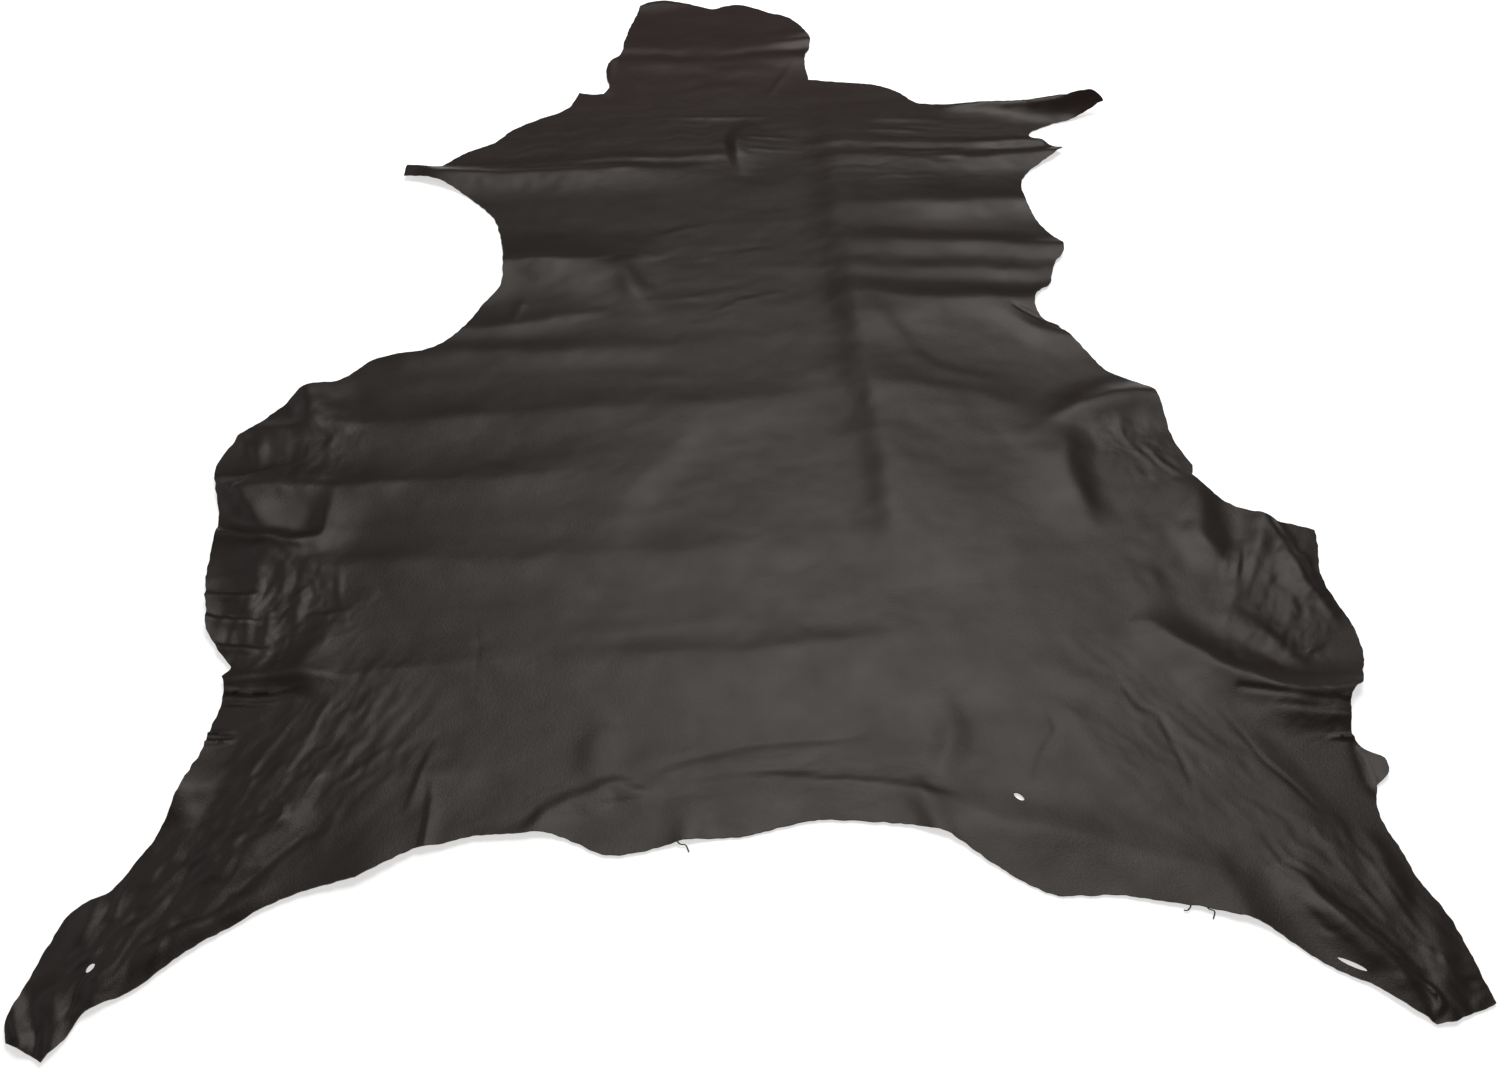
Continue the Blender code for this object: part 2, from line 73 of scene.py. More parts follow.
# Outline: each stretch is a smooth curve from one corner to the next, clockwise from above
Stretch = namedtuple("Stretch", "place points")
OUTLINE = [
    Stretch("front and right side of the neck", [
        (-46, 637), (-28, 647), (-6, 645), (18, 637), (36, 628), (50, 633), (66, 636), (84, 627),
        (100, 615), (117, 607), (131, 589), (139, 568), (140, 545), (133, 522), (130, 500), (132, 474)]),
    Stretch("right shoulder to the toe of the foreleg", [
        (132, 474), (162, 467), (203, 458), (226, 442), (241, 421), (262, 416), (300, 411), (344, 402),
        (372, 400), (395, 398), (416, 401), (429, 399), (436, 393)]),
    Stretch("near side of the right foreleg", [
        (436, 393), (419, 387), (400, 378), (385, 374), (369, 367), (353, 357), (351, 348), (360, 338),
        (380, 322)]),
    Stretch("right armpit", [
        (380, 322), (369, 312), (350, 298), (336, 285), (327, 268), (325, 245), (327, 225), (332, 203),
        (341, 180), (348, 162), (346, 150), (336, 138), (330, 122), (325, 106), (314, 97), (306, 84),
        (303, 68), (305, 57)]),
    Stretch("nick in the right side", [(305, 57), (311, 50), (320, 44)]),
    Stretch("right side", [
        (320, 44), (331, 24), (343, 0), (352, -18), (370, -34), (384, -52), (388, -75), (389, -105),
        (393, -125), (398, -141)]),
    Stretch("step in the right side", [(398, -141), (395, -152)]),
    Stretch("right flank", [(395, -152), (408, -177), (424, -193), (449, -211)]),
    Stretch("right flank corner", [(449, -211), (463, -215), (478, -222)]),
    Stretch("outer edge of the right flank", [
        (478, -222), (475, -240), (469, -262), (468, -278), (472, -300), (477, -320), (477, -343),
        (475, -357)]),
    Stretch("notch below the right flank", [
        (475, -357), (468, -372), (465, -381), (455, -388), (449, -402), (444, -423)]),
    Stretch("small lobe", [(444, -423), (448, -436), (458, -444), (461, -451), (457, -461), (448, -468)]),
    Stretch("far side of the right hind leg", [
        (448, -468), (443, -482), (442, -500), (447, -520), (451, -545), (461, -570), (466, -600),
        (468, -622), (470, -637)]),
    Stretch("toe of the right hind leg", [(470, -637), (452, -643), (437, -648)]),
    Stretch("tip of the right toe", [(437, -648), (427, -648)]),
    Stretch("near side of the right hind leg and the rump", [
        (427, -648), (412, -634), (396, -619), (376, -607), (364, -597), (345, -578), (335, -569),
        (318, -562), (290, -553), (262, -546), (246, -542), (225, -541), (204, -539), (185, -528),
        (165, -511), (148, -494), (134, -484), (112, -477), (82, -472), (50, -469), (25, -473), (0, -478),
        (-25, -479), (-46, -480), (-68, -485), (-90, -488), (-106, -484), (-122, -474), (-140, -467),
        (-165, -467), (-190, -467), (-210, -472), (-230, -475), (-250, -486), (-267, -495)]),
    Stretch("near side of the left hind leg", [
        (-267, -495), (-300, -502), (-325, -512), (-350, -527), (-375, -543), (-400, -565), (-425, -578),
        (-434, -586), (-441, -600), (-451, -613)]),
    Stretch("toe of the left hind leg", [(-451, -613), (-463, -606), (-475, -599)]),
    Stretch("far side of the left hind leg", [
        (-475, -599), (-478, -583), (-473, -562), (-466, -538), (-457, -511), (-448, -502), (-434, -495),
        (-421, -478), (-408, -455), (-399, -428), (-391, -398), (-386, -378)]),
    Stretch("below the left notch", [(-386, -378), (-384, -360), (-380, -342), (-379, -325), (-382, -315)]),
    Stretch("left flank", [
        (-382, -315), (-377, -309), (-379, -301), (-390, -286), (-401, -266), (-404, -246), (-408, -222),
        (-410, -195), (-408, -165), (-410, -140), (-416, -112), (-420, -95), (-417, -77), (-410, -65),
        (-406, -54)]),
    Stretch("left side and armpit", [
        (-406, -54), (-392, -40), (-378, -20), (-363, -3), (-347, 6), (-331, 13), (-316, 26), (-300, 42),
        (-281, 48), (-256, 51), (-238, 62), (-219, 84), (-206, 111), (-193, 130), (-188, 146), (-188, 178),
        (-191, 205), (-196, 235), (-203, 253), (-219, 275), (-240, 297), (-262, 311), (-278, 317),
        (-292, 320)]),
    Stretch("toe of the left foreleg", [(-292, 320), (-289, 334)]),
    Stretch("left shoulder", [
        (-289, 334), (-272, 331), (-259, 334), (-248, 345), (-232, 360), (-203, 376), (-190, 392),
        (-177, 404), (-155, 418), (-137, 428), (-125, 440), (-120, 453), (-116, 465)]),
    Stretch("tab at the left shoulder", [(-116, 465), (-103, 461), (-90, 461)]),
    Stretch("left side of the neck", [
        (-90, 461), (-84, 472), (-86, 490), (-87, 505), (-82, 522), (-74, 532), (-68, 545), (-66, 562),
        (-60, 590), (-52, 617), (-46, 637)]),
]

# Holes through the hide: centre, length, width, and the turn of the length from +X in degrees
Hole = namedtuple("Hole", "place x y length width turn")
HOLES = [
    Hole("hole in the right thigh", 193, -460, 9.0, 5.0, -50),
    Hole("hole in the left hind leg", -432, -551, 7.0, 4.5, 60),
    Hole("slit beside the right hind leg's edge", 386, -604, 20.0, 3.6, -35),
]

# Folds: each crest runs through (x, y, height), and falls to the floor over the widths to its left and
# right as one walks along it. Its rounding makes the crest crisp or soft, and it is more or less uneven.
# Nearly all crests end at height 0 or at the edge.
Fold = namedtuple("Fold", "place left right crest rounding uneven", defaults=[CRISP, UNEVEN])
FOLDS = [
    # Neck
    Fold("front roll of the neck", 34, 14, [
        (-80, 549, 1.6), (-20, 543, 1.5), (18, 541, 0.6), (68, 540, 1), (102, 543, 3), (155, 552, 4.8)], 8),
    Fold("front lip of the neck", 10, 28, [
        (-54, 628, 0), (-42, 640, 3), (-20, 646, 3), (0, 642, 1.4), (16, 635, 0)], 4),
    Fold("back roll of the neck", 16, 40, [
        (-80, 520, 1.2), (0, 515, 1.5), (70, 514, 1.6), (145, 517, 3)], 10),
    Fold("curl of the neck's left edge", 13, 13, [
        (-74, 544, 0), (-86, 520, 3), (-91, 500, 4.5), (-89, 478, 3), (-84, 455, 0)], 5),
    Fold("pleat behind the neck", 40, 14, [(68, 392, 0), (52, 374, 3.4), (47, 348, 4.4), (50, 300, 0)], 4),
    # Left shoulder and armpit
    Fold("left foreleg ridge", 24, 42, [
        (-302, 337, 7), (-276, 329, 7), (-250, 318, 7), (-175, 315, 5.5), (-94, 316, 4), (-34, 316, 2.4),
        (30, 322, 0)], 4),
    Fold("left shoulder ripple", 16, 12, [
        (-225, 331, 0), (-196, 331, 1.12), (-135, 335, 1.54), (-74, 338, 1.54), (0, 337, 1.4),
        (60, 334, 0)], 4),
    Fold("left armpit ridge", 62, 74, [
        (-205, 167, 10), (-133, 169, 9), (-98, 170, 6.4), (-74, 171, 3), (-30, 172, 0)], 3),
    Fold("rim of the armpit dent", 30, 40, [
        (-78, 172, 0), (-74, 158, 3), (-68, 130, 3.8), (-59, 102, 2), (-50, 76, 0)], 5),
    Fold("left waist ridge", 44, 26, [
        (-240, 78, 3.25), (-197, 79, 2.9), (-165, 82, 2.4), (-125, 88, 2), (-84, 92, 0)], 3),
    Fold("turn of the left waist", 9, 14, [(-166, 120, 0), (-171, 100, 0.8), (-178, 78, 0)], 3),
    Fold("left waist ripple", 30, 30, [
        (-270, 46, 1.92), (-222, 46, 1.92), (-151, 42, 1.92), (-61, 40, 1.28), (40, 44, 0)], 10),
    # Left flank
    Fold("left hip ridge", 45, 20, [(-362, 22, 8), (-350, -8, 8), (-347, -30, 7), (-346, -60, 0)], 6),
    Fold("upper left ridge", 40, 60, [
        (-418, -52, 5), (-340, -46, 4.4), (-280, -44, 3.4), (-218, -41, 2.6), (-123, -37, 1.8),
        (-63, -34, 1.5), (24, -35, 1.3), (103, -37, 0)], 5),
    Fold("left pouch ridge", 45, 46, [
        (-430, -116, 4), (-400, -116, 4), (-390, -119, 6), (-345, -121, 6), (-305, -119, 4.4),
        (-240, -118, 2.6), (-150, -116, 1.5), (-60, -112, 0)], 4),
    Fold("curl of the left pouch", 62, 20, [
        (-408, -96, 0), (-405, -110, 5), (-394, -125, 7), (-382, -143, 7), (-371, -163, 5),
        (-360, -180, 0)], 5),
    Fold("lower lip of the left pouch", 20, 34, [
        (-428, -166, 7), (-406, -168, 7.5), (-383, -175, 8), (-358, -181, 8), (-339, -180, 7),
        (-325, -174, 6), (-321, -156, 4.5), (-318, -133, 2.4), (-314, -112, 0)]),
    Fold("middle left ridge", 35, 50, [
        (-372, -210, 3), (-300, -208, 3), (-250, -208, 2.4), (-120, -211, 1.6), (0, -213, 1),
        (101, -213, 0)], 6),
    Fold("upright ridge of the left edge", 24, 20, [
        (-376, -186, 0), (-373, -197, 1.4), (-369, -219, 2.2), (-368, -245, 2.2), (-370, -270, 0)], 3),
    Fold("raised left edge", 44, 10, [
        (-410, -192, 0), (-420, -220, 6), (-421, -250, 8), (-415, -278, 7.6), (-403, -303, 2),
        (-396, -316, 0)], 3),
    Fold("first bar of the left flank", 12, 10, [(-351, -194, 0), (-347, -222, 1.3), (-346, -252, 0)], 3),
    Fold("second bar of the left flank", 10, 10, [(-332, -220, 0), (-331, -244, 1.2), (-333, -270, 0)], 3),
    Fold("third bar of the left flank", 10, 12, [(-353, -247, 0), (-353, -270, 1.6), (-360, -290, 0)], 3),
    Fold("upper scallop of the left edge", 6, 24, [
        (-420, -232, 3.12), (-379, -235, 3.12), (-362, -236, 0)], 1.5),
    Fold("middle scallop of the left edge", 6, 24, [
        (-415, -256, 3), (-376, -259, 3), (-356, -261, 0)], 1.5),
    Fold("lower scallop of the left edge", 6, 24, [(-408, -281, 3), (-372, -287, 3), (-350, -292, 0)], 1.5),
    Fold("slant of the left flank", 50, 28, [
        (-272, -236, 0), (-290, -253, 1.4), (-309, -280, 2.8), (-324, -309, 2.8), (-334, -330, 0)], 4),
    Fold("left gutter ridge", 34, 26, [
        (-392, -316, 5), (-350, -318, 5.4), (-318, -318, 4.6), (-290, -318, 2.6), (-220, -314, 1.4),
        (-150, -314, 0)], 3),
    Fold("left thigh ridge", 44, 40, [
        (-415, -414, 4), (-365, -413, 4), (-313, -416, 3.6), (-242, -417, 2.6), (-190, -412, 1.6),
        (-130, -404, 0)], 5),
    Fold("round of the left thigh", 34, 12, [
        (-380, -362, 0), (-392, -384, 4.4), (-397, -405, 7.6), (-403, -430, 7), (-412, -458, 2.6),
        (-424, -486, 0)], 4),
    # Left hind leg
    Fold("left shank swell", 22, 40, [
        (-300, -425, 0), (-330, -455, 2.25), (-362, -488, 2.25), (-400, -530, 0)], 8),
    Fold("near swell of the left shank", 18, 22, [
        (-300, -474, 0), (-338, -508, 2.55), (-362, -522, 2.7), (-395, -543, 1.7), (-428, -566, 0)], 5),
    Fold("left toe ridge", 18, 12, [
        (-456, -562, 0), (-453, -577, 2.3), (-450, -592, 2.8), (-447, -608, 2.6)], 4),
    Fold("outer swell of the left shank", 14, 12, [
        (-436, -486, 0), (-441, -504, 2), (-444, -524, 2.6), (-447, -548, 0)], 4),
    Fold("left toe curl", 13, 10, [
        (-480, -554, 0), (-480, -568, 3), (-477, -584, 3.4), (-469, -602, 2.8)], 3),
    Fold("lift of the left rump's edge", 68, 20, [
        (-345, -524, 0), (-300, -508, 3.2), (-255, -490, 4.4), (-215, -476, 4), (-165, -468, 2.4),
        (-120, -474, 0)], 10),
    Fold("inner side of the left toe", 30, 15, [
        (-436, -536, 0), (-431, -556, 2), (-428, -572, 3), (-425, -588, 3.6), (-422, -606, 3.4)], 3),
    # Back
    Fold("left bank of the spine", 30, 60, [
        (96, 425, 0), (93, 330, 0.8), (90, 240, 0.8), (92, 120, 0.8), (98, 0, 0.8), (102, -110, 0.5),
        (104, -205, 0)], 20),
    Fold("right bank of the spine", 185, 50, [
        (150, 426, 0), (151, 400, 3), (150, 343, 5), (142, 256, 5.4), (141, 191, 6.4), (145, 121, 7.2),
        (141, 56, 7.2), (141, 7, 7.2), (143, -39, 7.2), (146, -102, 7.2), (144, -150, 7), (142, -205, 4.4),
        (142, -260, 0)], 12, 0.2),
    Fold("belly swell", 30, 100, [
        (6, -46, 0), (-41, -92, 1.6), (-66, -125, 2), (-86, -163, 1.8), (-96, -217, 0)], 14),
    Fold("loin ripple", 24, 70, [
        (-150, -318, 0), (-80, -318, 1.4), (-24, -316, 1.8), (22, -314, 2), (68, -312, 2), (114, -309, 1.6),
        (150, -298, 0)], 6),
    # Right shoulder and armpit
    Fold("curl of the right foreleg", 10, 30, [
        (262, 412, 0), (290, 409, 2.4), (318, 406, 4), (348, 402, 7), (373, 401, 13), (398, 401, 19),
        (420, 404, 24), (448, 400, 22)], 3),
    Fold("rolled edge of the right foreleg", 6, 13, [
        (262, 410, 0), (300, 407, 2.4), (344, 400, 4), (385, 397, 3), (420, 398, 0)], 2),
    Fold("upper right ripple", 14, 18, [
        (92, 352, 0), (150, 346, 1.2), (220, 343, 1.6), (290, 340, 2.4), (360, 336, 5)], 4),
    Fold("right flap ridge", 18, 30, [
        (92, 322, 0), (150, 321, 1.2), (190, 320, 1.8), (250, 315, 2.6), (320, 312, 5), (390, 316, 7)], 4),
    Fold("right armpit ridge", 46, 40, [
        (88, 240, 0), (125, 240, 0.8), (160, 239, 2.2), (200, 237, 3.4), (250, 236, 4.4),
        (335, 236, 6)], 6),
    Fold("right chest ridge", 24, 40, [
        (88, 184, 0), (125, 184, 0.74), (160, 182, 1.84), (200, 179, 2.76), (250, 175, 3.5),
        (300, 168, 4.05), (356, 160, 4.97)], 6),
    Fold("right chest ripple", 22, 24, [
        (90, 142, 0), (150, 140, 1), (200, 136, 1.3), (260, 132, 1.4), (345, 126, 2)], 8),
    Fold("right waist ridge", 34, 85, [
        (84, 106, 0), (120, 104, 0.95), (155, 96, 2.85), (190, 89, 5.13), (240, 84, 6.65), (290, 82, 7.98),
        (330, 84, 8.55)], 6),
    Fold("pleat at the nick", 16, 26, [
        (262, 73, 0), (279, 57, 1.2), (296, 43, 2.2), (314, 32, 2.6), (336, 22, 2.6)], 5),
    Fold("rim of the waist dent", 16, 30, [
        (146, 86, 0), (163, 54, 0.5), (178, 18, 0.8), (198, -8, 1), (236, -24, 0.9), (280, -28, 0)], 6),
    Fold("right body ridge", 32, 95, [
        (118, -28, 0), (160, -31, 1.2), (188, -35, 2.3), (215, -41, 2.6), (250, -55, 2), (290, -64, 0)], 5),
    # Right flank
    Fold("right pouch ridge", 34, 50, [
        (248, -102, 0), (285, -86, 5), (325, -64, 9), (360, -57, 10), (400, -60, 9)], 9),
    Fold("inner side of the right pouch", 28, 55, [
        (298, -88, 0), (293, -114, 4), (290, -142, 5), (295, -177, 4), (303, -215, 0)], 7),
    Fold("first right flank ridge", 24, 30, [
        (384, -155, 0), (391, -183, 4), (384, -219, 5), (392, -242, 3), (404, -266, 0)], 6),
    Fold("second right flank ridge", 20, 24, [
        (446, -190, 2.1), (436, -214, 2.8), (426, -245, 2.8), (409, -292, 0)], 6),
    Fold("third right flank ridge", 16, 26, [
        (440, -196, 2), (446, -217, 3.6), (451, -262, 3.6), (459, -297, 2.4), (468, -326, 0)], 3),
    Fold("fourth right flank ridge", 20, 24, [
        (350, -296, 0), (385, -308, 1.5), (405, -325, 2), (418, -345, 1.5), (426, -364, 0)], 7),
    Fold("right gutter ridge", 38, 50, [
        (310, -304, 0), (328, -317, 3.6), (352, -344, 7), (366, -362, 9), (385, -375, 9.6),
        (408, -384, 9.6), (438, -384, 9), (485, -381, 8)], 4),
    Fold("ridge of the right notch", 6, 30, [
        (385, -400, 0), (415, -404, 1.4), (438, -406, 2), (458, -412, 2)], 3),
    Fold("crown of the small lobe", 6, 19, [
        (448, -430, 0), (461, -439, 2.4), (464, -452, 3), (457, -468, 2.6), (452, -478, 0)], 3),
    # Right hind leg and rump
    Fold("right thigh ridge", 24, 30, [
        (345, -398, 0), (372, -445, 1), (392, -480, 1.6), (402, -520, 1.4), (398, -552, 0)], 14),
    Fold("right shank ridge", 16, 30, [
        (362, -524, 0), (371, -545, 2.76), (380, -561, 4.39), (391, -577, 5.2), (405, -593, 5.2),
        (414, -607, 4.06), (420, -635, 2.44)], 4),
    Fold("right heel ridge", 36, 50, [
        (318, -505, 0), (326, -545, 2.62), (330, -570, 3.08), (328, -605, 2.31)], 5),
    Fold("right ankle ridge", 14, 22, [
        (424, -500, 0), (428, -520, 1.26), (433, -545, 1.54), (436, -572, 0)], 4),
    Fold("right toe ridge", 14, 16, [
        (448, -560, 0), (450, -590, 1.13), (444, -620, 1.41), (432, -655, 1.41)], 4),
    Fold("rump ridge", 34, 50, [
        (20, -436, 0), (76, -442, 0.9), (111, -449, 1.7), (142, -460, 2.4), (176, -480, 2.7),
        (242, -503, 2.6), (300, -526, 2.2), (325, -540, 0)], 7),
    Fold("line over the rump", 10, 38, [
        (-14, -428, 0), (20, -431, 0.7), (62, -438, 1), (97, -444, 1.1), (131, -453, 0.9),
        (158, -463, 0)], 2.5),
    Fold("tail crease", 20, 20, [(140, -352, 0), (152, -390, 1.5), (149, -418, 1.5), (138, -450, 0)], 8),
    Fold("rim of the rump lobe", 12, 26, [
        (-190, -470, 0), (-156, -465, 1.12), (-138, -449, 1.28), (-109, -438, 1.28), (-93, -432, 1.12),
        (-78, -438, 0.96), (-56, -446, 0)], 4),
    Fold("right side of the rump lobe", 20, 24, [
        (-30, -444, 0), (-38, -462, 1), (-42, -478, 1.9), (-44, -496, 2.2)], 6),
    Fold("lip by the tail", 22, 17, [(122, -438, 0), (128, -460, 1.5), (134, -486, 2)], 7),
    Fold("crease left of the tail", 26, 16, [
        (-93, -372, 0), (-101, -388, 0.7), (-107, -406, 1.1), (-108, -426, 0)], 6),
]

# Creases too fine for the solid, in the same columns as the folds
CREASES = [
    Fold("first line of the left gutter", 3, 3, [(-384, -327, 1.5), (-350, -331, 1.6), (-318, -326, 0)], 1),
    Fold("second line of the left gutter", 3, 3, [
        (-382, -338, 1), (-350, -341, 1), (-325, -338, 0)], 1),
    Fold("first pleat of the left notch", 3, 3, [(-390, -366, 2), (-374, -365, 1.5), (-364, -366, 0)], 1),
    Fold("second pleat of the left notch", 3, 4, [(-392, -375, 2.5), (-374, -374, 2), (-362, -371, 0)], 1),
    Fold("line across the left flank", 5, 8, [(-331, -256, 0), (-315, -258, 1.2), (-290, -255, 0)], 1.5),
    Fold("upright line of the left flank", 6, 6, [(-305, -206, 0), (-304, -230, 0.7), (-301, -250, 0)], 2),
    Fold("upright line of the left hip", 7, 6, [
        (-402, -52, 0), (-395, -62, 0.53), (-387, -80, 0.57), (-386, -102, 0)], 2),
    Fold("soft swell of the left hip", 14, 14, [(-386, -52, 0), (-385, -72, 2.2), (-381, -96, 0)], 5),
    Fold("line above the left pleat", 10, 3, [
        (-218, -378, 0), (-228, -410, 0.7), (-233, -430, 0.9), (-238, -446, 0)], 1),
    Fold("pleat of the left rump", 12, 3, [(-221, -415, 0), (-221, -445, 1), (-224, -484, 1.3)], 1),
    Fold("line of the left shank", 8, 6, [
        (-382, -508, 0), (-388, -526, 1.1), (-391, -544, 1.1), (-394, -560, 0)], 2.5),
    Fold("second line of the left shank", 4, 4, [(-419, -483, 0), (-424, -500, 1.5), (-425, -517, 0)], 2),
    Fold("line of the left thigh", 6, 6, [(-325, -428, 0), (-322, -443, 1.26), (-329, -458, 0)], 2),
    Fold("first slant of the left thigh", 6, 6, [
        (-296, -330, 0), (-302, -345, 0.66), (-316, -388, 0.77), (-331, -428, 0)], 2),
    Fold("second slant of the left thigh", 6, 6, [(-316, -345, 0), (-343, -391, 0.77), (-352, -428, 0)], 2),
    Fold("third slant of the left thigh", 5, 5, [
        (-297, -400, 0), (-304, -419, 0.84), (-312, -434, 0)], 1.5),
    Fold("short pleat of the right notch", 3, 4, [(424, -424, 0), (436, -425, 1.6), (450, -426, 1.6)], 1),
    Fold("first short line of the right flank", 5, 6, [
        (424, -346, 0), (440, -343, 0.86), (456, -332, 0)], 1.5),
    Fold("second short line of the right flank", 6, 6, [
        (415, -228, 0), (407, -251, 1.2), (393, -284, 0)], 2),
    Fold("first fan line of the right pouch", 6, 6, [(344, -84, 0), (354, -121, 0.72), (372, -150, 0)], 2),
    Fold("second fan line of the right pouch", 6, 6, [
        (358, -102, 0), (372, -136, 0.84), (393, -158, 0)], 2),
    Fold("line under the right armpit", 4, 4, [(282, 112, 0), (292, 134, 0.4), (306, 160, 0)], 1.5),
    Fold("first slant of the right leg", 5, 6, [
        (398, -520, 0), (404, -535, 0.69), (415, -563, 0.78), (430, -598, 0)], 2),
    Fold("second slant of the right leg", 5, 6, [
        (414, -515, 0), (422, -532, 0.69), (431, -564, 0.78), (442, -602, 0)], 2),
    Fold("curl of the right toe", 5, 5, [
        (420, -616, 0), (430, -625, 1.82), (433, -636, 1.82), (426, -645, 0)], 2),
    Fold("first line of the right shoulder", 6, 7, [(165, 366, 0), (205, 368, 0.8), (260, 362, 0)], 2),
    Fold("second line of the right shoulder", 6, 7, [(180, 332, 0), (230, 326, 0.8), (300, 330, 0)], 2),
    Fold("front line of the right shoulder", 9, 9, [(170, 392, 0), (225, 388, 0.77), (290, 380, 0)], 3),
    Fold("first line behind the neck", 6, 7, [
        (-40, 412, 0), (-10, 409, 0.41), (50, 405, 0.5), (90, 404, 0)], 2),
    Fold("second line behind the neck", 5, 6, [(52, 366, 0), (70, 365, 0.54), (125, 358, 0)], 2),
    Fold("third line behind the neck", 5, 6, [(54, 344, 0), (72, 343, 0.54), (125, 336, 0)], 2),
    Fold("slant of the neck", 8, 8, [(84, 438, 0), (102, 474, 0.9), (118, 508, 0)], 2.5),
    Fold("left slant of the neck", 8, 8, [(-74, 524, 0), (-58, 488, 0.59), (-43, 452, 0)], 2.5),
    Fold("first streak of the waist", 7, 9, [(-62, 200, 0), (-18, 214, 0.35), (26, 226, 0)], 2.5),
    Fold("second streak of the waist", 7, 9, [(-26, 164, 0), (19, 171, 0.27), (66, 180, 0)], 2.5),
    Fold("third streak of the waist", 6, 10, [(-48, 106, 0), (-13, 109, 0.2), (20, 120, 0)], 2),
    Fold("fourth streak of the waist", 7, 10, [(-10, 76, 0), (34, 102, 0.42), (86, 112, 0)], 2.5),
]

# Grooves pressed into the hide, in the same columns, with the depth for the height
GROOVES = [
    Fold("groove over the rump", 9, 10, [
        (-70, -420, 0), (-29, -409, 0.6), (4, -402, 0.6), (44, -400, 0.56), (81, -399, 0.44),
        (110, -384, 0)], 2),
    Fold("second groove over the rump", 9, 10, [
        (-66, -431, 0), (-30, -427, 0.36), (13, -424, 0.36), (60, -421, 0)], 2.5),
    Fold("long groove of the left shank", 8, 10, [
        (-288, -444, 0), (-296, -452, 0.9), (-314, -465, 1.1), (-330, -483, 1.3), (-343, -498, 1.3),
        (-354, -506, 0)], 2.5),
    Fold("near groove of the left shank", 8, 10, [
        (-346, -504, 0), (-352, -509, 1), (-367, -519, 1.2), (-384, -526, 0)], 2.5),
    Fold("middle groove of the left shank", 8, 9, [
        (-350, -466, 0), (-357, -474, 1), (-371, -488, 1.1), (-382, -502, 0)], 2.5),
    Fold("upper groove of the left shank", 8, 9, [
        (-374, -460, 0), (-379, -480, 1), (-386, -503, 1.1), (-403, -526, 0)], 2.5),
    Fold("line of the belly", 4, 4, [(-196, -262, 0), (-193, -304, 0.14), (-195, -350, 0)], 2),
    Fold("groove at the nick", 3.5, 4, [
        (281, 74, 0), (290, 66, 1.4), (302, 56, 2.2), (313, 47, 2.4), (323, 40, 1.6)], 1),
    Fold("line across the belly", 4, 5, [(-225, -314, 0), (-190, -317, 0.2), (-152, -313, 0)], 2),
    Fold("groove below the left hole", 7, 5, [
        (-429, -546, 0), (-433, -555, 0.9), (-438, -567, 1.2), (-442, -578, 1.1), (-444, -590, 0)], 2),
    Fold("first groove of the right notch", 4, 5, [
        (370, -376, 0), (377, -379, 0.84), (416, -391, 1.05), (452, -398, 0.84)], 1),
    Fold("second groove of the right notch", 4, 4, [
        (428, -387, 0), (438, -393, 1.12), (452, -402, 1.12)], 1),
    Fold("groove beside the small lobe", 4, 11, [
        (440, -430, 0), (446, -438, 1.8), (446, -452, 2.6), (447, -468, 2.4), (452, -480, 0)], 1.5),
    Fold("long mark of the right thigh", 3.5, 3.5, [
        (352, -388, 0), (364, -416, 0.42), (373, -440, 0.48), (388, -464, 0.48), (402, -490, 0)], 1),
    Fold("bent mark of the right thigh", 6, 5, [
        (226, -380, 0), (230, -404, 0.32), (217, -424, 0.36), (205, -450, 0)], 2),
    Fold("middle mark of the right thigh", 5, 5, [
        (308, -396, 0), (311, -414, 0.24), (317, -457, 0.24), (314, -496, 0)], 2),
    Fold("hook by the right heel", 5, 5, [(368, -560, 0), (376, -579, 0.7), (393, -582, 0)], 1.5),
]

